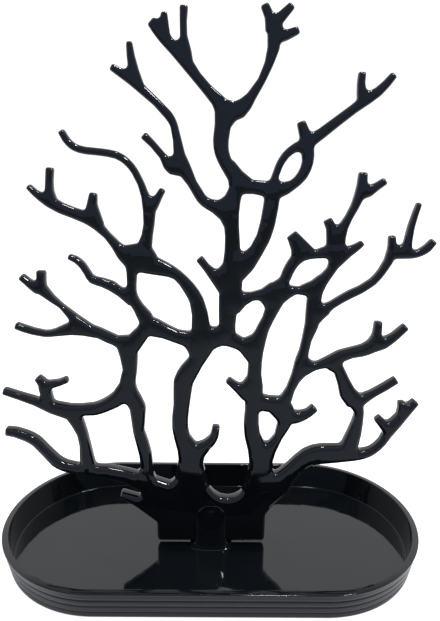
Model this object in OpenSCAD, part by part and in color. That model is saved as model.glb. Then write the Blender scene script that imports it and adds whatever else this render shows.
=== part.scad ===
// Jewellery stand: a stadium-shaped tray with a slotted post, and a flat coral tree
// whose tab drops into the slot. Millimetres, +Z up, X across the front, Y to the back.

/* [Tray] */
// Length of the tray over its rim
tray_w = 240; // [200:1:320]
// Depth of the tray over its rim
tray_d = 121; // [100:1:170]
// Height of the tray wall
tray_h = 17.5; // [12:0.5:26]
// Thickness of the tray floor
floor_t = 2.4; // [1.5:0.1:4]
// Width of the flat top of the rim
rim_w = 3.6; // [2.5:0.1:5]
// How far the outer wall leans in towards the foot
wall_lean = 3.2; // [0:0.1:6]
// How far the inner wall leans in towards the floor
inner_lean = 1.4; // [0.5:0.1:3]
// Number of shallow bands around the outer wall
band_n = 4; // [2:1:6]
// Depth of the groove between two bands
band_groove = 0.4; // [0.2:0.05:0.8]
// Rounding of the rim's outer and inner edges
rim_r = 0.9; // [0.3:0.1:1.4]
// Fillet between the inner wall and the floor
floor_fillet = 2.4; // [0.5:0.1:4]

/* [Post] */
// Width of the post at the floor
post_w = 24.8; // [20:0.2:34]
// Depth of the post at the floor
post_d = 17.4; // [16:0.2:24]
// Height of the post above the table
post_h = 29; // [20:0.5:34]
// How far each side of the post leans in over its height
post_lean = 3.4; // [1:0.1:3.6]
// Rounding of the post's top edge
post_r = 4; // [1:0.5:5]
// Small flare where the post meets the tray floor
foot_flare = 0.8; // [0.3:0.1:2]
// Height of the slot's bottom above the tray floor
slot_lift = 0.6; // [0.4:0.1:4]
// Clearance between the tab and each cheek of the slot
slot_gap = 0.25; // [0.15:0.05:0.6]

/* [Coral tree] */
// Height of the tree's top above the table
tree_h = 292; // [230:1:380]
// Thickness of the tree at the tab
foot_t = 8; // [6:0.1:10]
// Thickness of the tree at its top
top_t = 4.4; // [3:0.1:6]
// Width of the tab that stands in the slot
tab_w = 63.6; // [50:0.2:80]
// Height of the tab under the lowest branches
tab_h = 17; // [14:0.5:26]
// Rounding of the tab's lower corners
tab_r = 3; // [1:0.5:6]
// Factor on the width of every branch
branch_k = 1; // [0.9:0.05:1.3]
// Fillet in the crotches between branches
crotch_r = 1.8; // [0.6:0.1:2]
// Chamfer on the corners of the branch ends
end_c = 0.6; // [0.3:0.1:1]

/* [Hidden] */
tray_colour = [0.07, 0.075, 0.085];
tree_colour = [0.13, 0.15, 0.17];
eps = 0.01;

slot_floor = floor_t + slot_lift;
slot_w = foot_t + 2 * slot_gap;

// The tree was drawn with its foot at 3 and its top at 292; draw_k carries it to other heights
drawn_foot = 3;
drawn_top = 292;
draw_k = (tree_h - slot_floor) / (drawn_top - drawn_foot);
function draw_z(z) = slot_floor + (z - drawn_foot) * draw_k;

turn_max = 13; // largest turn, in degrees, left between two straight pieces of a branch

// Each branch is a list of [x, z, width], from the limb it springs from out to its end
lower_left = [
    [[-20, 32, 16], [-40, 42, 11], [-50, 46.3, 8.2], [-60, 48.6, 8], [-72, 49.7, 6.5], [-83, 52, 6.4],
     [-89, 55.7, 6.6], [-93.5, 61.3, 6], [-98.5, 67.5, 6], [-104, 71.1, 5.8], [-110, 73.4, 5.4],
     [-115.5, 74.2, 4.8]],
    [[-33, 25, 11], [-43.4, 29.9, 6.7], [-52.5, 34.4, 4]],
    [[-70, 50, 9], [-71, 58, 7.8], [-71.5, 66, 6.2], [-72.6, 73, 6], [-75, 80, 7.5], [-79, 87, 8]],
    [[-79, 86.5, 9], [-88, 89, 7.5], [-97, 92.6, 5], [-105, 95.5, 4.3], [-114.5, 98.9, 4]],
    [[-90, 89, 7], [-91, 97, 6.4], [-91.5, 102, 7]],
    [[-91, 101, 6], [-93.3, 104.8, 5], [-95.3, 107.1, 4.1]],
    [[-92, 101.5, 6], [-88, 102.8, 4.6], [-83.5, 103.9, 3.7], [-78.5, 106, 3.6]],
    [[-80, 86.5, 9], [-72, 87.6, 6.6], [-65, 88.2, 7.2], [-58, 91, 7.6], [-51, 95.5, 9],
     [-46, 102, 10]],
    [[-36.5, 40, 8], [-37, 53, 7], [-37.5, 60, 7.2], [-39, 67, 7.1], [-41, 75, 6.5], [-41, 82, 7.8],
     [-41, 89, 9.2], [-45, 98, 9], [-46, 105, 8.8], [-44.6, 112, 8], [-44.9, 120, 9.8], [-46, 127, 11]]
];
left_arms = [
    [[-46, 126, 8], [-52, 128.8, 5.8], [-60, 132.7, 5.9], [-68, 135, 7.6], [-76, 135, 7],
     [-83, 133, 4.4], [-89, 132.2, 3.6], [-95, 133.4, 3.8], [-100, 135, 4], [-104.4, 136.8, 3.8]],
    [[-46, 127.8, 7.6], [-53, 128.7, 4.9], [-59, 131.3, 4.4], [-66, 136, 5], [-73, 141, 5.2],
     [-79.2, 147.6, 2.8], [-84, 151.7, 4], [-88.7, 156.5, 6]],
    [[-88, 156, 5], [-91, 156.8, 5.6], [-95.5, 160.2, 4.2], [-99.2, 163.6, 3.9]],
    [[-88.6, 155, 5], [-88.7, 160, 4.8], [-88.4, 166.6, 4.9]],
    [[-46, 122, 10], [-40.1, 130, 9.2], [-34.6, 136.9, 7], [-35.7, 142, 8], [-38.9, 147.2, 6],
     [-42.2, 153.5, 6], [-42, 160, 5], [-41.7, 166, 5.7], [-41.5, 173, 8]],
    [[-43, 152.4, 7.4], [-48, 155.4, 5], [-52.5, 158.7, 5.6], [-57, 160.5, 4.9], [-62.3, 162.1, 4.4],
     [-64.6, 165.6, 3.8], [-66.8, 169.4, 3.8], [-70.3, 172.6, 3.6], [-74, 174.2, 3]],
    [[-38, 140, 8], [-31, 136.1, 10.2], [-25, 133.9, 8], [-19, 131.3, 7.3], [-12, 129.5, 9],
     [-6, 128.5, 12]],
    [[-40, 171, 9], [-31, 170, 10], [-25, 168, 7.8], [-18.4, 164.9, 5.6], [-12.4, 158.1, 6.8],
     [-8.4, 151.1, 7.7], [-6.7, 144, 8.7], [-6.2, 137, 10], [-5, 130, 12]],
    [[-38, 173, 8], [-34.9, 179, 8], [-33.4, 185, 5.9], [-32.3, 191, 5.7], [-31.9, 198, 6.7],
     [-33.8, 205, 4.2], [-35.7, 210.9, 3.6], [-38.6, 216.8, 3.6], [-42.5, 221.5, 3.7],
     [-47.5, 224.5, 3.8], [-55, 225.8, 3.7], [-62, 226.4, 3.7], [-67.6, 228, 3.7], [-71.2, 231.4, 3.6],
     [-73.6, 235.7, 3.4]],
    [[-31.9, 197, 5.6], [-29.3, 201.3, 5], [-27, 205, 3.8], [-24.9, 208.5, 3.4]],
    [[-41, 172, 10], [-46, 176, 7.5], [-49.5, 180.3, 5], [-53.4, 185, 4], [-58, 189.8, 5.2],
     [-63.5, 194, 6.4], [-70, 196.3, 5.6], [-76, 198.6, 5.8], [-81.5, 201.8, 6], [-85.5, 204, 4.4],
     [-88.5, 206.2, 3.4], [-91.6, 209.4, 3]],
    [[-58.5, 191, 7], [-60.3, 197, 7], [-60.2, 201.5, 5], [-59.4, 206.3, 4.1]],
    [[-80.5, 202, 6], [-81.1, 207, 4.4], [-80.8, 212, 3.9], [-80, 218.3, 4]]
];
middle = [
    [[-12, 42, 17], [-12, 52, 15.6], [-12.2, 58, 13.4], [-14, 65, 11.5], [-16.6, 71, 9.2],
     [-17.7, 77, 9.2], [-17.6, 84, 9.2], [-16.8, 91, 9.1], [-16.3, 98, 10], [-15.7, 105, 11],
     [-12.5, 111.5, 10.5], [-8.9, 117, 9], [-6.9, 122, 11.2], [-5, 128, 14]],
    [[-11, 62, 10], [-5.8, 64.6, 6.9], [-1.3, 67.8, 5.9], [1.6, 72.4, 4.9], [2.6, 78.5, 4.3]],
    [[26, 36, 17], [28, 48, 14], [28.1, 57, 13.6], [25.5, 65, 10.6], [22.8, 73, 9.1], [22, 80, 8.7],
     [22.2, 88, 8], [23.1, 95, 10], [23.5, 103, 8.9], [23, 110, 7.8], [23.2, 117, 7.6],
     [23.7, 123, 7.7], [24.9, 130, 7.8], [26.8, 136, 6.7], [29.2, 141.3, 6.3], [31.3, 147, 7.5],
     [33, 153, 10]],
    [[29, 56, 12], [33.2, 64, 7.2], [37.4, 71.6, 4.9], [40.3, 79.5, 7.6], [41, 87, 10]],
    [[24, 96, 9], [18.5, 98.5, 8], [14, 101.8, 5.2], [11, 104.3, 4.2], [8.3, 106.6, 3.7]],
    [[-8, 127, 13], [-1, 130.5, 13], [6, 131, 9.6], [12, 128.9, 8], [17, 125.7, 7], [22, 120, 8]],
    [[8, 131, 9], [7.8, 138, 8.9], [8, 145, 9.7], [8.8, 152, 11.4], [9.4, 160, 12], [10.2, 170, 10.5],
     [9.9, 178, 8.2], [9.7, 185, 7.6], [9.2, 191, 7.7], [9.2, 197, 7.6], [10, 203, 7.1],
     [11.5, 210, 7]],
    [[5, 160, 8], [0.5, 165, 6], [-3.4, 169.2, 4.2], [-7.2, 174, 4.2]],
    [[12, 165, 9], [17, 171.3, 10], [22.2, 178.2, 7.5], [25.5, 184.8, 7.5], [27.4, 192, 7.8],
     [28.5, 199, 7.8], [29.2, 205, 7.8], [28.5, 210, 9]],
    [[9, 154, 7], [15, 153.3, 5.4], [20.5, 153.8, 4.6], [26, 154.8, 5.9], [32, 157, 9.4]]
];
right_arms = [
    [[31, 156.5, 8.2], [36.5, 161.6, 5.8], [38.7, 167, 5.8], [41.5, 172.2, 6], [46, 176.2, 6.7],
     [53, 176.6, 4.7], [60, 178, 7]],
    [[47.5, 177, 9], [43.5, 181.6, 7.8], [39.5, 186.6, 6.2]],
    [[35, 159, 7], [40, 157.6, 4.4], [44.5, 157.2, 4.2], [49.5, 157.4, 6]],
    [[52.9, 149, 7.2], [53.5, 156, 7.6], [56.6, 162.3, 6.3], [60.8, 168, 4.9], [62.5, 173, 7],
     [62.5, 180, 9.6], [61, 186, 7.5], [59.3, 190.5, 5.2], [57.3, 194.3, 4.8]],
    [[62.5, 178, 9.5], [63.6, 186, 7.6], [65.8, 190.8, 5], [68, 195.3, 4], [70.5, 200.5, 4.2],
     [72.3, 205.5, 5], [73.4, 211, 5.2], [73.5, 217.6, 4.5]],
    [[73, 206.5, 5], [77.1, 208.4, 5.5], [80.9, 210.9, 4], [85, 213.7, 3.6]],
    [[63, 174, 9], [69, 177.8, 5.6], [73.3, 180.4, 3.9], [76.3, 182.8, 3]],
    [[52.9, 152, 7.4], [52.9, 145, 7.9], [52.5, 138, 7.4], [50.4, 130, 5.4], [49.3, 123.5, 5.4],
     [48.2, 117, 7.2], [45.9, 108.5, 6], [43, 101, 5], [40.5, 94.5, 7], [38, 88, 9]],
    [[54, 145, 8], [58.5, 146.6, 6.4], [62.5, 149.5, 4.3], [67.4, 152.8, 4.3], [72.2, 155.6, 4.5],
     [77.2, 158.1, 4.3], [82.7, 162, 4.2], [87, 167.4, 4.1], [90, 173, 4.6], [91.3, 178, 5]],
    [[91.3, 176, 5.4], [91.3, 181, 4.4], [90.6, 186.4, 3.7]],
    [[90.5, 176.5, 5], [95, 178.1, 7.4], [100, 177.4, 5.8], [104.5, 177.3, 4.1], [109.4, 180.2, 4.4],
     [112.5, 184.1, 3.7]],
    [[98.8, 177, 5.5], [99.1, 184, 4.1], [99.9, 191, 3.5], [101.2, 197, 3.1], [102.8, 203, 2.6]],
    [[48.5, 118, 7], [53, 115, 6.2], [57.5, 115.4, 4.5], [63, 117.4, 6.3], [69, 120.7, 6.9],
     [75, 122.8, 6.1], [80.5, 124.1, 6.7], [85.8, 127.2, 7.4], [87.7, 133.5, 4.9], [87.9, 140.7, 4.3]],
    [[86, 126, 6], [91.7, 128.2, 6.3], [97, 132, 4.9], [103, 138.2, 4.2]],
    [[66, 117.5, 7], [69.2, 112, 6.3], [72, 105.6, 7.2], [74.5, 99.2, 9.4], [79.1, 94, 10.4]],
    [[80, 94, 9], [84.5, 96.3, 5.6], [88.5, 98.9, 4.3], [94.7, 102.9, 4.3], [100.9, 107.4, 4.2]],
    [[79.5, 96, 9], [80.3, 91.5, 7.6], [81.8, 87.5, 5.4], [81.3, 81, 6.4], [80.2, 75, 8],
     [78.5, 68, 9.5], [76, 62, 10]],
    [[33, 36, 12], [39, 42, 12], [46.8, 51.3, 9.8], [54.8, 58.8, 11], [62.5, 61, 11.8], [72, 61.6, 11],
     [80, 60.9, 7.6], [86, 61.4, 5.8], [91.5, 63.8, 4.8], [96.3, 69, 4.7], [99, 74.5, 5.4]],
    [[99.5, 75.5, 5.6], [97.5, 78.6, 6.1], [94.6, 81.5, 5], [91.9, 84.4, 4.4]],
    [[99, 74.5, 5.6], [102.5, 80.8, 7], [107, 86.8, 5.8], [112.9, 94.5, 4.4]],
    [[103, 80, 5.4], [105, 86, 4.6], [105.1, 90, 4], [104.8, 94.4, 3.8]],
    [[39, 86, 9], [44.5, 84.3, 8.4], [49.3, 84.8, 6.3], [53.9, 87, 4.8], [57.3, 90.3, 4.7]],
    [[22, 94, 10], [31, 92.2, 9.2], [39, 91, 10], [42, 86, 9]]
];
crown = [
    [[11.5, 210, 7.4], [20, 209.9, 7], [27.5, 208.9, 8], [33, 208.8, 8], [38.9, 211, 5],
     [43.6, 215.7, 5.3], [45.9, 221.9, 5.7], [45.5, 228, 6.6], [44.3, 234, 6], [41.6, 241, 4.4]],
    [[29.5, 210, 6], [30.4, 215.5, 3.6], [32, 220.2, 3.7], [35, 225.2, 3.9], [39.5, 228.8, 4.5],
     [44.5, 230, 7]],
    [[44.5, 230, 7], [48, 233, 6], [52, 235.7, 5.3], [58.4, 240.7, 4.9], [66.5, 246.9, 4.6],
     [73, 251.9, 5.6], [77.5, 254.7, 4.6], [81, 258.2, 4], [84.5, 262.5, 3.5]],
    [[71, 250, 6], [69.7, 254, 4.6], [69.1, 258.5, 3.8], [69.3, 263.4, 3.6]],
    [[12.2, 208, 8.6], [10.1, 214.5, 6.7], [6.5, 220.3, 6.6], [4, 226, 7.2], [3.4, 232, 7.8],
     [4.2, 238.5, 8], [6, 244, 12], [7.2, 250.3, 10]],
    [[6, 244, 10], [1.5, 250.2, 6.6], [-3.2, 254.8, 5.2], [-8.2, 260.3, 5], [-12.8, 266.2, 6],
     [-18.3, 271.4, 4.8], [-23, 277, 6], [-26.2, 281, 6], [-29.4, 284, 4.5]],
    [[-12.5, 265, 6], [-13, 271.5, 4.8], [-14.2, 278, 3.5], [-14.3, 284, 3.4], [-14, 290.7, 4]],
    [[-22.3, 275, 5], [-22.8, 281.5, 4], [-23.1, 287.8, 3.1]],
    [[5, 244, 9], [12.3, 246.2, 8.6], [17.6, 252, 5], [22.2, 259, 3.9], [25.4, 266.3, 4.4],
     [27.3, 273, 5.8], [27.5, 279, 6.6], [26.7, 284, 6.6]],
    [[26.5, 282, 7], [24.9, 286.5, 4.6], [22.4, 291.5, 4]],
    [[26.5, 283, 6], [30.5, 286.4, 4.8], [35.4, 291.3, 3.6]],
    [[28, 277.5, 6], [33.3, 278.7, 4.6], [38.8, 281, 3.6]],
    [[9, 196, 9], [3, 199.4, 7.8], [-2, 201.2, 5.8], [-6, 204.1, 5.3], [-10.5, 211.4, 5],
     [-14.5, 218.2, 7.4], [-16.7, 225, 5.8], [-17.7, 232, 4.3], [-19.1, 238.5, 3.8],
     [-21.8, 243.2, 4.4], [-27.3, 248.8, 4], [-32.6, 253.4, 4.4], [-38.3, 258.5, 5.2],
     [-43.3, 261.5, 4.3], [-48.3, 264.4, 3.4]],
    [[-35.5, 256.5, 5], [-37.6, 262.5, 5], [-38.8, 269, 3.9], [-39.4, 275.3, 3]],
    [[-14.5, 219, 8], [-20.5, 219, 7.2], [-25, 224.5, 3.6], [-29.6, 229.8, 3.5], [-34.1, 234.1, 3.9]]
];
// Webs that round off the wider crotches
webs = [
    [[8.4, 220.5, 5], [12, 215.4, 6.2], [18, 211.5, 5]],
    [[39.5, 183.5, 3], [41.7, 178.5, 3.8], [41.5, 173, 3]],
    [[48, 159, 3.4], [52, 160.9, 3.4], [56, 164.5, 3]],
    [[36, 151, 2.6], [39.8, 154.4, 2.8], [44.6, 157.4, 2.6]],
    [[13, 146.5, 4], [16.1, 150.7, 4.4], [21, 153.5, 3.6]],
    [[30, 146, 4], [28.2, 150.6, 4.4], [24.5, 153.5, 3]],
    [[3, 201.5, 4], [7.4, 204.4, 4.2], [10, 211, 3.6]],
    [[-1, 200, 4], [5.2, 195, 4.6], [8.5, 188, 4]],
    [[2.5, 165, 4], [6.6, 170.3, 3.8], [8.2, 176, 4]],
    [[-46, 178, 4], [-41.5, 178.9, 3.6], [-36.5, 180.4, 2.6]],
    [[-35, 184.5, 3], [-33, 179.4, 3], [-29.4, 174.2, 2.4]],
    [[-15.5, 128.5, 3.4], [-12, 125.2, 4.4], [-10.5, 119.5, 3]],
    [[-53.5, 129.2, 3], [-49, 125.7, 4.6], [-47, 119, 4]],
    [[-7.5, 56, 6], [-5.8, 60.6, 4.8], [-2, 65, 3.4]],
    [[14, 100.5, 4], [18.1, 102.9, 4.8], [21.2, 109, 3.6]],
    [[17, 129, 3], [21.6, 131.2, 2.8], [24.2, 134.5, 3]],
    [[33, 88, 3], [37.7, 84.3, 5], [39.8, 78.5, 3]],
    [[55.5, 139.5, 2], [58, 142.6, 2], [61.5, 145.8, 1.6]],
    [[46, 105, 2], [50, 110.2, 2.6], [56.5, 114.2, 2.2]],
    [[64, 114, 3], [69.2, 111.3, 4], [71.5, 105.5, 3]]
];
// Solid body above the tab, up to the lowest windows
root = [
    [-32, 16], [-44.5, 26.7], [-39, 34.5], [-45, 39.5], [-41, 51], [-33.6, 50], [-32, 45], [-29.5, 42],
    [-26.5, 41], [-23.5, 42], [-21, 45], [-20, 50], [-3.7, 50], [-2.8, 44.2], [-1, 39.2], [2, 35.5],
    [5.2, 33.2], [9.7, 32.4], [13, 33.1], [16, 35], [18.3, 38.7], [20, 44.5], [21, 50], [35, 50],
    [37.5, 47.6], [42, 49], [47, 43], [45, 36.8], [35, 26.3], [31.5, 20.3], [31, 16]
];

// Smooth curve through four neighbours (Catmull-Rom), for points and widths alike
function spline(a, b, c, d, t) =
    0.5 * (2 * b + (c - a) * t + (2 * a - 5 * b + 4 * c - d) * t * t + (3 * b - a - 3 * c + d) * t * t * t);
function unit(v) = v / norm(v);
function run(p, i) = unit([for (c = [0:1]) p[i + 1][c] - p[i][c]]);
function turn(p, i) = i < 1 || i > len(p) - 2 ? 0 : acos(min(1, run(p, i - 1) * run(p, i)));
function smooth(p) = let (last = len(p) - 1) [
    for (i = [0:last - 1]) let (n = ceil(max(turn(p, i) + turn(p, i + 1), 1) / 2 / turn_max))
        for (k = [0:n - 1])
            spline(p[max(i - 1, 0)], p[i], p[i + 1], p[min(i + 2, last)], k / n),
    p[last]
];

// A branch as a closed outline: out along one side and back along the other
module branch(points) {
    drawn = smooth([for (q = points) [q[0], draw_z(q[1]), q[2] * branch_k]]);
    tip = drawn[len(drawn) - 1];
    back = run(drawn, len(drawn) - 2) * end_c;
    s = [for (i = [0:len(drawn) - 2]) drawn[i], tip - [back[0], back[1], 0], tip - [0, 0, 2 * end_c]];
    last = len(s) - 1;
    side = [
        for (i = [0:last])
            let (d = unit([for (c = [0:1]) s[min(i + 1, last)][c] - s[max(i - 1, 0)][c]])) [-d[1], d[0]]
    ];
    polygon([
        for (i = [0:last]) [s[i][0], s[i][1]] + side[i] * s[i][2] / 2,
        for (i = [last:-1:0]) [s[i][0], s[i][1]] - side[i] * s[i][2] / 2
    ]);
}

module tab() {
    top = draw_z(drawn_foot + tab_h);
    hull() {
        for (x = [-tab_w / 2 + tab_r, tab_w / 2 - tab_r])
            translate([x, slot_floor + tab_r]) circle(r = tab_r, $fn = 24);
        translate([-tab_w / 2, top - 1]) square([tab_w, 1]);
    }
}

module tree_outline() {
    offset(r = -crotch_r, $fn = 12) offset(delta = crotch_r) {
        for (limb = [lower_left, left_arms, middle, right_arms, crown, webs], b = limb) branch(b);
        polygon([for (q = root) [q[0], draw_z(q[1])]]);
        tab();
    }
}

// The tree is thickest at its foot and thins evenly towards the top
module coral_tree() {
    reach = 2 * tray_w;
    color(tree_colour) intersection() {
        rotate([90, 0, 0]) linear_extrude(foot_t, center = true) tree_outline();
        translate([-reach / 2, 0, 0]) rotate([90, 0, 90]) linear_extrude(reach) polygon([
            [-foot_t / 2, 0], [foot_t / 2, 0], [foot_t / 2, post_h], [top_t / 2, tree_h],
            [top_t / 2, tree_h + 9], [-top_t / 2, tree_h + 9], [-top_t / 2, tree_h], [-foot_t / 2, post_h]
        ]);
    }
}

function arc(cx, cz, r, from, to, n) =
    [for (i = [0:n]) let (a = from + (to - from) * i / n) [cx + r * cos(a), cz + r * sin(a)]];

// Half of the tray's cross-section: x runs out from the middle of the tray, and y up
module wall_section() {
    r0 = tray_d / 2;
    band_h = (tray_h - rim_r) / band_n;
    function outer(z) = r0 - wall_lean * (1 - z / tray_h);
    foot = [for (i = [0:band_n - 1], p = [[0.12, 0], [0.88, 0], [1, band_groove]])
        let (z = (i + p[0]) * band_h) [outer(z) - (i == band_n - 1 ? 0 : p[1]), z]];
    inner = r0 - rim_w;
    toe = inner - inner_lean;
    polygon(concat(
        [[0, 0], [outer(0) - band_groove, 0]],
        foot,
        arc(r0 - rim_r, tray_h - rim_r, rim_r, 0, 90, 4),
        arc(inner + rim_r, tray_h - rim_r, rim_r, 90, 180, 4),
        arc(toe - floor_fillet, floor_t + floor_fillet, floor_fillet, 0, -90, 5),
        [[0, floor_t]]
    ));
}

module tray_shell() {
    straight = tray_w - tray_d;
    for (s = [-1, 1]) translate([s * straight / 2, 0, 0]) rotate([0, 0, -s * 90])
        rotate_extrude(angle = 180, $fn = 120) wall_section();
    translate([-straight / 2, 0, 0]) rotate([90, 0, 90]) linear_extrude(straight) {
        wall_section();
        mirror([1, 0]) wall_section();
    }
}

// Thin slab with round ends, for hulls
module stadium(w, d, z)
    for (s = [-1, 1]) translate([s * (w - d) / 2, 0, z]) cylinder(h = 0.1, d = d, $fn = 32);

// Two cheeks that rise from the floor and hold the tab between them
module post() {
    top_w = post_w - 2 * post_lean;
    top_d = post_d - 2 * post_lean * post_d / post_w;
    difference() {
        union() {
            hull() {
                stadium(post_w, post_d, floor_t - eps);
                stadium(top_w, top_d, post_h - post_r);
                stadium(top_w - post_r, top_d - post_r * 0.6, post_h - post_r * 0.35);
                stadium(top_w - post_r * 2, max(top_d - post_r * 1.2, slot_w + 0.6), post_h - 0.1);
            }
            hull() {
                stadium(post_w + 2 * foot_flare, post_d + 2 * foot_flare, floor_t - eps);
                stadium(post_w, post_d, floor_t + foot_flare);
            }
        }
        translate([0, 0, slot_floor + post_h / 2]) cube([post_w * 2, slot_w, post_h], center = true);
    }
}

module tray() {
    color(tray_colour) {
        tray_shell();
        post();
    }
}

tray();
coral_tree();
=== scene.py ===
import math

import bmesh
import bpy
import numpy as np
from mathutils import Matrix, Vector, geometry, kdtree


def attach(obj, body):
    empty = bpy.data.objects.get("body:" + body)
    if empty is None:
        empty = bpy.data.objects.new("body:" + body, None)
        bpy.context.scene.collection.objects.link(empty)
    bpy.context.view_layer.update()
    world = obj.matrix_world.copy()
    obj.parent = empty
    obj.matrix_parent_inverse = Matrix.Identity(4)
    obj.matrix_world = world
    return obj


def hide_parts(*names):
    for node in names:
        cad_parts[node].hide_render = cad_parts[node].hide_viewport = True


# Jewellery stand: a gloss black tray with round ends and a flat coral tree in its slotted post.
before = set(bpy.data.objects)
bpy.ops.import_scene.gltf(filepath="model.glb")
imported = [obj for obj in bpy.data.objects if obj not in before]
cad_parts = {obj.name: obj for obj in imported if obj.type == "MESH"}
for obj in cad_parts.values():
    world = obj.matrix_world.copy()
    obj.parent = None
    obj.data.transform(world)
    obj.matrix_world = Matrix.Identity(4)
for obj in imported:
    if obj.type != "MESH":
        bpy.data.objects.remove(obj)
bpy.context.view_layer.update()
print("frame loaded")


# Camera, set from the photograph

cameraSettings = {
    "place": (0.00169, -0.29516, 0.23703),
    "down": 0.2999,  # radians below level
    "turn": 0.0075,
    "roll": 0.0111,
    "focal": 586.45,  # in pixels of the photograph
    "photoHeight": 621,
    "sensor": 24,
    "nearest": 0.01,
}


def makeCamera(s):
    data = bpy.data.cameras.new("photoCamera")
    data.sensor_fit = "VERTICAL"
    data.sensor_height = s["sensor"]
    data.lens = s["focal"] / s["photoHeight"] * data.sensor_height
    data.clip_start = s["nearest"]
    flat = math.cos(s["down"])
    ahead = Vector((math.sin(s["turn"]) * flat, math.cos(s["turn"]) * flat, -math.sin(s["down"])))
    level = Vector((math.cos(s["turn"]), -math.sin(s["turn"]), 0))
    above = level.cross(ahead)
    right = level * math.cos(s["roll"]) + above * math.sin(s["roll"])
    up = above * math.cos(s["roll"]) - level * math.sin(s["roll"])
    camera = bpy.data.objects.new("photoCamera", data)
    turned = Matrix((right, up, -ahead)).transposed().to_4x4()
    camera.matrix_world = Matrix.Translation(s["place"]) @ turned
    bpy.context.scene.collection.objects.link(camera)
    bpy.context.scene.camera = camera


makeCamera(cameraSettings)
bpy.context.scene.view_settings.view_transform = "Standard"
print("camera set")


# Shader writing: sums on a wrapped socket add their own Math nodes

class Value:
    def __init__(self, maker, socket):
        self.maker, self.socket = maker, socket

    def __add__(self, other):
        return self.maker.math("ADD", self, other)

    def __sub__(self, other):
        return self.maker.math("SUBTRACT", self, other)

    def __rsub__(self, other):
        return self.maker.math("SUBTRACT", other, self)

    def __mul__(self, other):
        return self.maker.math("MULTIPLY", self, other)

    __radd__ = __add__
    __rmul__ = __mul__


class Maker:
    def __init__(self, tree):
        self.tree = tree
        tree.nodes.clear()

    # A node of any type: its own settings first, then its inputs by name or number
    def node(self, kind, settings=None, inputs=None, output=0):
        made = self.tree.nodes.new(kind)
        for name, value in (settings or {}).items():
            setattr(made, name, value)
        for name, value in (inputs or {}).items():
            if isinstance(value, Value):
                self.tree.links.new(value.socket, made.inputs[name])
            else:
                made.inputs[name].default_value = value
        return Value(self, made.outputs[output]) if len(made.outputs) else made

    def math(self, operation, a, b=0.0):
        return self.node("ShaderNodeMath", {"operation": operation}, {0: a, 1: b})

    def blend(self, factor, a, b):
        return self.node("ShaderNodeMix", {"data_type": "RGBA"}, {0: factor, 6: a, 7: b}, 2)

    def ramp(self, value, low, high, start=0.0, end=1.0):
        ends = {0: value, 1: low, 2: high, 3: start, 4: end}
        return self.node("ShaderNodeMapRange", {"clamp": True}, ends)


# Gloss black moulded plastic: faint flow clouding, dust specks and hairline scratches
plasticSettings = {
    "dark": (0.0040, 0.0055, 0.0068, 1),
    "light": (0.0058, 0.0076, 0.0094, 1),
    "dust": (0.10, 0.10, 0.105, 1),
    "ior": 1.58,
    "roughLow": 0.035,
    "roughHigh": 0.085,
    "specks": 0.10,  # how far the dust lightens the plastic
    "speckRough": 0.25,
    "scratchRough": 0.06,
    "flowScale": 22.0,
    "grimeScale": 140.0,
    "dustScale": 420.0,
    "scratchTurn": (0.0, 0.5, 0.7),
    "scratchScale": (30.0, 900.0, 900.0),  # long one way and fine the other two
    "waves": 0.0004,  # height of the moulding's waviness, in metres
}


def makePlastic(name, s, shift):
    material = bpy.data.materials.new(name)
    material.use_nodes = True
    make = Maker(material.node_tree)
    place = make.node("ShaderNodeTexCoord", output=3)
    moved = make.node("ShaderNodeMapping", inputs={0: place, 1: shift})
    flow = make.node("ShaderNodeTexNoise", inputs={
        "Vector": moved, "Scale": s["flowScale"], "Detail": 3.0, "Distortion": 0.6})
    grime = make.node("ShaderNodeTexNoise", inputs={
        "Vector": moved, "Scale": s["grimeScale"], "Detail": 6.0, "Roughness": 0.62})
    dust = make.node("ShaderNodeTexVoronoi", {"feature": "F1"}, {"Vector": moved, "Scale": s["dustScale"]})
    speck = make.ramp(dust, 0.10, 0.05) * make.ramp(grime, 0.50, 0.62)
    stretched = make.node("ShaderNodeMapping", inputs={0: moved, 2: s["scratchTurn"], 3: s["scratchScale"]})
    hair = make.node("ShaderNodeTexNoise", inputs={"Vector": stretched, "Scale": 1.0, "Detail": 2.0})
    scratch = make.ramp(hair, 0.70, 0.78)
    colour = make.blend(make.ramp(flow, 0.35, 0.7), s["dark"], s["light"])
    colour = make.blend(speck * s["specks"], colour, s["dust"])
    rough = make.ramp(grime, 0.35, 0.7, s["roughLow"], s["roughHigh"])
    rough = rough + speck * s["speckRough"] + scratch * s["scratchRough"]
    height = flow + grime * 0.02 + scratch * 0.01
    bump = make.node("ShaderNodeBump", inputs={"Strength": 0.5, "Distance": s["waves"], "Height": height})
    shell = make.node("ShaderNodeBsdfPrincipled", inputs={
        "Base Color": colour, "Roughness": rough, "IOR": s["ior"], "Normal": bump})
    make.node("ShaderNodeOutputMaterial", inputs={"Surface": shell})
    return material


treePlastic = makePlastic("treePlastic", plasticSettings, (0.3, 0.1, 0.7))
trayPlastic = makePlastic("trayPlastic", plasticSettings, (1.7, 2.2, 0.4))
print("materials made")


def newPiece(name, mesh, material):
    piece = bpy.data.objects.new(name, mesh)
    bpy.context.scene.collection.objects.link(piece)
    mesh.materials.clear()
    mesh.materials.append(material)
    return piece


# A modifier's result as a plain mesh
def settled(piece):
    bpy.context.view_layer.update()
    seen = piece.evaluated_get(bpy.context.evaluated_depsgraph_get())
    return bpy.data.meshes.new_from_object(seen)


# Coral tree: the outline of the CAD tree, smoothed, with rolled edges on both faces

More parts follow.
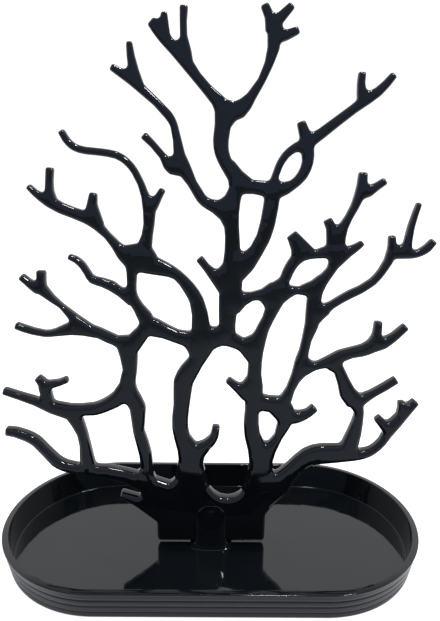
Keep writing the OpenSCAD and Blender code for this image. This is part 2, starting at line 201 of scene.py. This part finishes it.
treeSettings = {
    "footThick": 0.0080,
    "topThick": 0.0044,
    "footZ": 0.029,  # below this the tree keeps its full thickness
    "topZ": 0.292,
    "roll": 0.36,  # rounding of the edges, as a share of the thickness
    "rollSteps": (0.0, 18.0, 36.0, 54.0, 72.0, 90.0),  # degrees round the edge
    "step": 0.0008,  # between points of the outline
    "softenings": 3,
    "tabZ": 0.0034,  # lower edge of the tab
    "fewest": 5,  # a loop of no more points than this is a stray one
    "slack": 0.03,  # millimetres by which a ring's point may be nearer another edge
}


# Loops of the CAD tree where it is cut by its middle plane, in millimetres
def middleLoops(node):
    bm = bmesh.new()
    bm.from_mesh(node.data)
    bmesh.ops.remove_doubles(bm, verts=bm.verts, dist=1e-6)
    whole = bm.verts[:] + bm.edges[:] + bm.faces[:]
    cut = bmesh.ops.bisect_plane(bm, geom=whole, plane_co=(0, 0, 0), plane_no=(0, 1, 0), dist=1e-7)
    edges = [e for e in cut["geom_cut"] if isinstance(e, bmesh.types.BMEdge)]
    beside = {}
    for edge in edges:
        a, b = edge.verts
        beside.setdefault(a, []).append(b)
        beside.setdefault(b, []).append(a)
    loops, seen = [], set()
    for start in beside:
        if start in seen:
            continue
        loop, last, here = [], None, start
        while here not in seen:
            seen.add(here)
            loop.append((here.co.x * 1000, here.co.z * 1000))
            ahead = [v for v in beside[here] if v is not last and v not in seen]
            last = here
            if ahead:
                here = ahead[0]
        loops.append(np.array(loop))
    bm.free()
    return loops


def area(p):
    q = np.roll(p, -1, axis=0)
    return 0.5 * float(np.sum(p[:, 0] * q[:, 1] - q[:, 0] * p[:, 1]))


# Corner cutting, in millimetres; cuts stay short, so long straight runs keep their place
def soften(p, rounds, most=2.2):
    for _ in range(rounds):
        q = np.roll(p, -1, axis=0)
        run = q - p
        length = np.maximum(np.linalg.norm(run, axis=1), 1e-9)[:, None]
        cut = np.minimum(0.25 * length, most)
        p = np.stack([p + run / length * cut, q - run / length * cut], axis=1).reshape(-1, 2)
    return p


# The same loop with points a step apart
def evenly(p, step):
    closed = np.vstack([p, p[:1]])
    along = np.concatenate([[0], np.cumsum(np.linalg.norm(np.diff(closed, axis=0), axis=1))])
    count = max(12, int(round(along[-1] / step)))
    at = np.arange(count) * along[-1] / count
    return np.stack([np.interp(at, along, closed[:, 0]), np.interp(at, along, closed[:, 1])], axis=1)


# At each point, the way into the wood
def inwards(p):
    run = np.roll(p, -1, axis=0) - np.roll(p, 1, axis=0)
    run /= np.maximum(np.linalg.norm(run, axis=1), 1e-9)[:, None]
    return np.stack([-run[:, 1], run[:, 0]], axis=1)


# Which points lie in the wood: those that an odd number of edges pass on one side
def insideOf(points, loops, batch=4000):
    inside = np.zeros(len(points), bool)
    for p in loops:
        q = np.roll(p, -1, axis=0)
        for first in range(0, len(points), batch):
            x, z = points[first:first + batch, 0:1], points[first:first + batch, 1:2]
            crosses = (p[None, :, 1] > z) != (q[None, :, 1] > z)
            slope = (q[:, 0] - p[:, 0]) / np.where(q[:, 1] == p[:, 1], 1e-9, q[:, 1] - p[:, 1])
            at = p[None, :, 0] + (z - p[None, :, 1]) * slope[None, :]
            inside[first:first + batch] ^= (crosses & (x < at)).sum(axis=1) % 2 == 1
    return inside


def makeTree(node, s):
    loops = [p for p in middleLoops(node) if len(p) > s["fewest"]]
    loops = [evenly(soften(p, s["softenings"]), s["step"] * 1000) for p in loops]
    for p in loops:
        p[:, 1] = np.maximum(p[:, 1], s["tabZ"] * 1000)
    # The outline runs one way round and the windows the other, with the wood on the left
    loops.sort(key=lambda p: -abs(area(p)))
    loops = [p if (area(p) > 0) == (k == 0) else p[::-1].copy() for k, p in enumerate(loops)]
    rim = np.vstack(loops)
    tree = kdtree.KDTree(len(rim) * 2)
    fine = np.vstack([rim, np.vstack([(p + np.roll(p, -1, axis=0)) / 2 for p in loops])])
    for k, p in enumerate(fine):
        tree.insert((p[0], p[1], 0), k)
    tree.balance()

    def halfThick(z):
        t = np.clip((z / 1000 - s["footZ"]) / (s["topZ"] - s["footZ"]), 0, 1)
        return (s["footThick"] + (s["topThick"] - s["footThick"]) * t) * 500

    # Rings of points ever further in from the rim, kept where no other edge is nearer
    points, depth = [rim], [np.zeros(len(rim))]
    for k, angle in enumerate(s["rollSteps"][1:]):
        for p in loops:
            some = slice(None, None, 1 if k < 3 else 2)  # sparser further in
            roll = halfThick(p[:, 1]) * 2 * s["roll"]
            away = roll * (1 - math.cos(math.radians(angle)))
            ring = p + inwards(p) * away[:, None]
            near = np.array([tree.find((q[0], q[1], 0))[2] for q in ring])
            keep = near > away - s["slack"]
            points.append(ring[keep][some])
            depth.append(away[keep][some])
    flat = np.vstack(points)
    depth = np.concatenate(depth)
    constraints, first = [], 0
    for p in loops:
        constraints += [(first + k, first + (k + 1) % len(p)) for k in range(len(p))]
        first += len(p)
    out = geometry.delaunay_2d_cdt([Vector(q) for q in flat], constraints, [], 0, 1e-5)
    verts = np.array([(v.x, v.y) for v in out[0]])
    faces = np.array(out[2])
    origin = np.array([o[0] if o else -1 for o in out[3]])
    middle = verts[faces].mean(axis=1)
    faces = faces[insideOf(middle, loops)]
    d = np.where(origin >= 0, depth[np.maximum(origin, 0)], 0)
    half = halfThick(verts[:, 1])
    roll = half * 2 * s["roll"]
    height = half - roll + np.sqrt(np.maximum(roll ** 2 - np.maximum(roll - d, 0) ** 2, 0))

    # Front, back and the side wall between their rims
    count = len(verts)
    co = np.zeros((count * 2, 3))
    co[:count] = np.stack([verts[:, 0], -height, verts[:, 1]], axis=1) / 1000
    co[count:] = np.stack([verts[:, 0], height, verts[:, 1]], axis=1) / 1000
    faces = [tuple(f) for f in faces] + [(f[0] + count, f[2] + count, f[1] + count) for f in faces]
    edgeUse = {}
    for f in faces[:len(faces) // 2]:
        for a, b in ((f[0], f[1]), (f[1], f[2]), (f[2], f[0])):
            edgeUse[(a, b)] = edgeUse.get((a, b), 0) + 1
    for a, b in list(edgeUse):
        if (b, a) not in edgeUse:
            faces.append((b, a, a + count, b + count))
    mesh = bpy.data.meshes.new("coralTree")
    mesh.from_pydata([tuple(v) for v in co], [], [tuple(int(i) for i in f) for f in faces])
    bm = bmesh.new()
    bm.from_mesh(mesh)
    bmesh.ops.delete(bm, geom=[v for v in bm.verts if not v.link_faces], context="VERTS")
    bmesh.ops.recalc_face_normals(bm, faces=bm.faces)
    bm.to_mesh(mesh)
    bm.free()
    mesh.polygons.foreach_set("use_smooth", [True] * len(mesh.polygons))
    mesh.update()
    print("coral tree:", len(mesh.polygons), "faces")
    piece = newPiece("coralTree", mesh, treePlastic)
    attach(piece, "tree")
    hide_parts("coral_tree")
    return piece


makeTree(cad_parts["coral_tree"], treeSettings)


# Tray: one wall section swept round a path with round ends

traySettings = {
    "length": 0.240,
    "depth": 0.121,
    "height": 0.0178,
    "floor": 0.0011,
    "rim": 0.0036,
    "outerLean": 0.0032,
    "innerLean": 0.0014,
    "bands": 4,
    "groove": 0.0004,  # depth between the bands of the outer wall
    "rimRound": 0.0005,
    "rimFall": 0.0004,  # the rim slopes down to its outer edge
    "dish": 0.0006,  # rise of the floor from the middle to the wall
    "fillet": 0.0004,
    "footRound": 0.0005,
    "steps": 320,  # sections round the path
    "footReach": 0.016,  # where the flat underside begins, in from the rim
    "floorReach": 0.052,  # where the flat middle of the floor begins
    "bandPoints": (0.04, 0.1, 0.2, 0.35, 0.5, 0.65, 0.8, 0.9, 0.96, 1.0),
    "floorPoints": (0.08, 0.2, 0.35, 0.5, 0.65, 0.8, 0.92, 1.0),
    "footClear": 0.0006,  # no band point lower than this
    "rimClear": 0.0002,  # nor nearer the rim's rounding
    "weld": 0.000004,
}


# The wall's outline as (distance in from the rim, height): out along the underside, up, and in to the floor
def wallSection(s):
    def lean(z):
        return s["outerLean"] * (1 - z / s["height"])

    def arc(cx, cz, r, start, end, steps):
        angles = [math.radians(start + (end - start) * k / steps) for k in range(steps + 1)]
        return [(cx + r * math.cos(a), cz + r * math.sin(a)) for a in angles]

    low, inner = s["footRound"], s["height"] - s["rimRound"]
    top = inner - s["rimFall"]
    slope = math.degrees(math.atan2(s["rimFall"], s["rim"] - 2 * s["rimRound"]))
    section = [(s["footReach"], 0.0)] + arc(lean(0) + s["groove"] + low, low, low, 270, 180, 4)
    band = top / s["bands"]
    for k in range(s["bands"]):
        for t in s["bandPoints"]:
            z = (k + t) * band
            if s["footClear"] < z < top - s["rimClear"]:
                last = k == s["bands"] - 1 and t > 0.5
                section.append((lean(z) + (0 if last else s["groove"] * abs(2 * t - 1) ** 5), z))
    r = s["rimRound"]
    section += arc(r, top, r, 180, 90 + slope, 6)
    section += arc(s["rim"] - r, inner, r, 90 + slope, 0, 6)
    toe = s["rim"] + s["innerLean"]
    f = s["fillet"]
    section += arc(toe + f, s["floor"] + s["dish"] + f, f, 180, 270, 8)
    for t in s["floorPoints"]:
        section.append((toe + f + (s["floorReach"] - toe - f) * t, s["floor"] + s["dish"] * (1 - t) ** 2))
    return section


def traySweep(s):
    tree = bpy.data.node_groups.new("traySweep", "GeometryNodeTree")
    tree.interface.new_socket("Geometry", in_out="INPUT", socket_type="NodeSocketGeometry")
    for name, kind in (("Length", "Float"), ("Depth", "Float"), ("Steps", "Int"), ("Plastic", "Material")):
        tree.interface.new_socket(name, in_out="INPUT", socket_type="NodeSocket" + kind)
    tree.interface.new_socket("Geometry", in_out="OUTPUT", socket_type="NodeSocketGeometry")
    make = Maker(tree)
    given = tree.nodes.new("NodeGroupInput")
    length, depth, steps, plastic = (Value(make, given.outputs[k]) for k in (1, 2, 3, 4))
    path = make.node("GeometryNodeCurvePrimitiveQuadrilateral", inputs={"Width": length, "Height": depth})
    path = make.node("GeometryNodeFilletCurve", {"mode": "POLY"}, {
        "Curve": path, "Count": steps, "Radius": depth * 0.49999})  # corners just short of meeting
    path = make.node("GeometryNodeResampleCurve", inputs={"Curve": path, "Count": steps})
    path = make.node("GeometryNodeSetCurveNormal", {"mode": "Z_UP"}, {"Curve": path})
    section = make.node("GeometryNodeMeshToCurve", inputs={"Mesh": Value(make, given.outputs[0])})
    wall = make.node("GeometryNodeCurveToMesh", inputs={"Curve": path, "Profile Curve": section})
    wall = make.node("GeometryNodeMergeByDistance", inputs={"Geometry": wall, "Distance": s["weld"]})
    wall = make.node("GeometryNodeRealizeInstances", inputs={"Geometry": wall})
    wall = make.node("GeometryNodeSetMaterial", inputs={"Geometry": wall, "Material": plastic})
    out = tree.nodes.new("NodeGroupOutput")
    tree.links.new(wall.socket, out.inputs[0])
    return tree


def makeTray(s):
    section = wallSection(s)
    mesh = bpy.data.meshes.new("traySection")
    runs = [(k, k + 1) for k in range(len(section) - 1)]
    mesh.from_pydata([(-x, -z, 0) for x, z in section], runs, [])
    draft = bpy.data.objects.new("trayDraft", mesh)
    bpy.context.scene.collection.objects.link(draft)
    sweep = draft.modifiers.new("sweep", "NODES")
    sweep.node_group = traySweep(s)
    ids = {i.name: i.identifier for i in sweep.node_group.interface.items_tree if i.in_out == "INPUT"}
    sweep[ids["Length"]], sweep[ids["Depth"]], sweep[ids["Steps"]] = s["length"], s["depth"], s["steps"]
    sweep[ids["Plastic"]] = trayPlastic
    swept = settled(draft)
    bpy.data.objects.remove(draft)
    bm = bmesh.new()
    bm.from_mesh(swept)
    print("tray wall swept:", len(bm.faces), "faces")
    # The two open edges are filled: the floor above and the underside below
    edges = [e for e in bm.edges if e.is_boundary]
    between = s["floor"] / 2
    bmesh.ops.contextual_create(bm, geom=[e for e in edges if e.verts[0].co.z > between])
    bmesh.ops.contextual_create(bm, geom=[e for e in edges if e.verts[0].co.z < between])
    bmesh.ops.recalc_face_normals(bm, faces=bm.faces)
    bm.to_mesh(swept)
    bm.free()
    swept.polygons.foreach_set("use_smooth", [True] * len(swept.polygons))
    piece = newPiece("trayShell", swept, trayPlastic)
    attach(piece, "tray")
    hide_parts("tray")
    return piece


makeTray(traySettings)
print("tray made")


# Post: a domed boss, slotted for the tree's tab

postSettings = {
    # (height, half width, depth in front of the slot) in millimetres, from the floor up
    "cheek": (
        (0.7, 12.4, 4.3), (1.1, 12.4, 4.3), (1.25, 11.9, 4.0), (1.7, 11.2, 3.8), (2.4, 10.5, 3.65),
        (3.6, 9.9, 3.55), (5.0, 9.4, 3.5), (7.5, 9.05, 3.45), (11.0, 8.8, 3.4), (14.0, 8.7, 3.37),
        (15.5, 8.65, 3.28), (17.0, 8.8, 3.0), (19.0, 8.8, 2.46), (21.0, 8.7, 1.92), (23.0, 8.3, 1.38),
        (24.6, 7.7, 0.96), (25.8, 6.9, 0.66), (26.8, 6.0, 0.42), (27.6, 5.0, 0.26), (28.2, 3.8, 0.16),
        (28.6, 2.4, 0.08),
    ),
    "fuller": 0.9,  # below 1 the plan is fuller than an ellipse
    "aroundSteps": 40,
    "slot": 8.5,  # millimetres, as all the post's lengths but the edge
    "pad": ((0.7, 12.6, 8.5), (2.7, 12.6, 8.5)),  # the boss under the slot
    "padShare": 0.97,  # the pad is a little smaller than the foot of the cheeks
    "overlap": 0.02,
    "edge": 0.00035,  # metres
    "sharp": 50,  # degrees past which an edge is rounded
}


# Two cheeks with domed tops, front and back of the slot, on a low pad between them
def makePost(s):
    def arcPoint(k, steps, a, b):
        angle = math.pi * k / steps
        c, d = math.cos(angle), math.sin(angle)
        return a * math.copysign(abs(c) ** s["fuller"], c), b * abs(d) ** s["fuller"]

    def loft(bm, rings):
        for low, high in zip(rings, rings[1:]):
            for k in range(len(low)):
                n = (k + 1) % len(low)
                bm.faces.new((low[k], low[n], high[n], high[k]))
        bm.faces.new(rings[0][::-1])
        bm.faces.new(rings[-1])

    bm = bmesh.new()

    def corner(x, y, z):
        return bm.verts.new((x / 1000, y / 1000, z / 1000))

    gap = s["slot"] / 2
    for side in (-1, 1):
        rings = []
        for z, a, b in s["cheek"]:
            ring = [arcPoint(k, s["aroundSteps"], a, b) for k in range(s["aroundSteps"] + 1)]
            rings.append([corner(x, side * (y + gap), z) for x, y in ring])
        loft(bm, rings)
    rings = []
    for z, a, b in s["pad"]:
        half = [arcPoint(k, s["aroundSteps"], a, b - gap) for k in range(s["aroundSteps"] + 1)]
        ring = [(x, y + gap - s["overlap"]) for x, y in half]
        ring += [(-x, -y) for x, y in ring]
        rings.append([corner(x * s["padShare"], y * s["padShare"], z) for x, y in ring])
    loft(bm, rings)
    bmesh.ops.recalc_face_normals(bm, faces=bm.faces)
    mesh = bpy.data.meshes.new("post")
    bm.to_mesh(mesh)
    bm.free()
    piece = newPiece("post", mesh, trayPlastic)
    bevel = piece.modifiers.new("edges", "BEVEL")
    bevel.limit_method, bevel.angle_limit = "ANGLE", math.radians(s["sharp"])
    bevel.width, bevel.segments = s["edge"], 3
    made = settled(piece)
    piece.modifiers.clear()
    piece.data = made
    made.polygons.foreach_set("use_smooth", [True] * len(made.polygons))
    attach(piece, "tray")
    return piece


makePost(postSettings)
print("post made")


# Studio: a pale table and a bright wall behind. In the plastic's gloss the room in front and above is dimmer

studioSettings = {
    "tableSize": 3.0,
    "tableColour": (0.80, 0.80, 0.80, 1),
    # painted shade: the front of the table is darker, and darker still further out, as the gloss of the
    # plastic sees it
    "frontShadeColour": (0.37, 0.41, 0.44, 1),
    "nearEdge": (-0.078, -0.058),  # from the painted shade at the front of the table to its pale part
    "farEdge": (-0.50, -0.24),
    "farShade": 0.46,
    "glow": 0.9,
    "mirrorGlow": 0.2,  # the table's glow in the gloss of the plastic
    "back": (0.95, 0.95, 0.98, 1),
    "front": (0.24, 0.29, 0.42, 1),
    "above": (0.42, 0.43, 0.46, 1),
    "seen": (1.15, 1.15, 1.17, 1),  # the room as the camera sees it, not as the gloss does
    "side": (-0.42, 0.08),  # from the room in front to the wall behind
    "ceiling": (0.70, 0.82),  # from the walls to the ceiling
    "lamps": (  # name, place, size, watts
        ("overheadSoftbox", (0.12, -0.02, 1.10), (0.12, 0.10), 3),
        ("frontSoftbox", (0.48, -0.38, 1.00), (0.14, 0.10), 3),
    ),
    "aim": (0, 0, 0.1),
}


def makeStudio(s):
    mesh = bpy.data.meshes.new("table")
    far = s["tableSize"] / 2
    mesh.from_pydata([(-far, -far, 0), (far, -far, 0), (far, far, 0), (-far, far, 0)], [], [(0, 1, 2, 3)])
    material = bpy.data.materials.new("paleTable")
    material.use_nodes = True
    make = Maker(material.node_tree)
    place = make.node("ShaderNodeTexCoord", output=3)
    along = make.node("ShaderNodeSeparateXYZ", inputs={0: place}, output=1)
    seen = make.node("ShaderNodeLightPath", output=0)
    # Painted shade: in the gloss the front of the table is darker, and darker still further out; the camera
    # sees the whole table pale and glowing
    near = 1 - (1 - make.ramp(along, *s["nearEdge"])) * (1 - seen)
    shade = make.ramp(along, *s["farEdge"], s["farShade"], 1.0)
    strength = near * s["mirrorGlow"] + seen * (s["glow"] - s["mirrorGlow"])
    glow = make.node("ShaderNodeEmission", inputs={"Color": (1, 1, 1, 1), "Strength": strength})
    colour = make.blend(near, make.blend(shade, (0, 0, 0, 1), s["frontShadeColour"]), s["tableColour"])
    paint = make.node("ShaderNodeBsdfDiffuse", inputs={"Color": colour})
    both = make.node("ShaderNodeAddShader", inputs={0: glow, 1: paint})
    make.node("ShaderNodeOutputMaterial", inputs={"Surface": both})
    table = newPiece("table", mesh, material)

    world = bpy.data.worlds.new("studio")
    bpy.context.scene.world = world
    world.use_nodes = True
    make = Maker(world.node_tree)
    way = make.node("ShaderNodeTexCoord", output=0)
    back = make.node("ShaderNodeSeparateXYZ", inputs={0: way}, output=1)
    up = make.node("ShaderNodeSeparateXYZ", inputs={0: way}, output=2)
    sky = make.blend(make.ramp(back, *s["side"]), s["front"], s["back"])
    sky = make.blend(make.ramp(up, *s["ceiling"]), sky, s["above"])
    sky = make.blend(make.node("ShaderNodeLightPath", output=0), sky, s["seen"])
    light = make.node("ShaderNodeBackground", inputs={"Color": sky, "Strength": 1.0})
    make.node("ShaderNodeOutputWorld", inputs={"Surface": light})

    for name, place, size, watts in s["lamps"]:
        data = bpy.data.lights.new(name, "AREA")
        data.shape, data.size, data.size_y, data.energy = "RECTANGLE", size[0], size[1], watts
        lamp = bpy.data.objects.new(name, data)
        lamp.location = place
        lamp.rotation_euler = (Vector(s["aim"]) - Vector(place)).to_track_quat("-Z", "Y").to_euler()
        bpy.context.scene.collection.objects.link(lamp)


makeStudio(studioSettings)
print("studio lit")
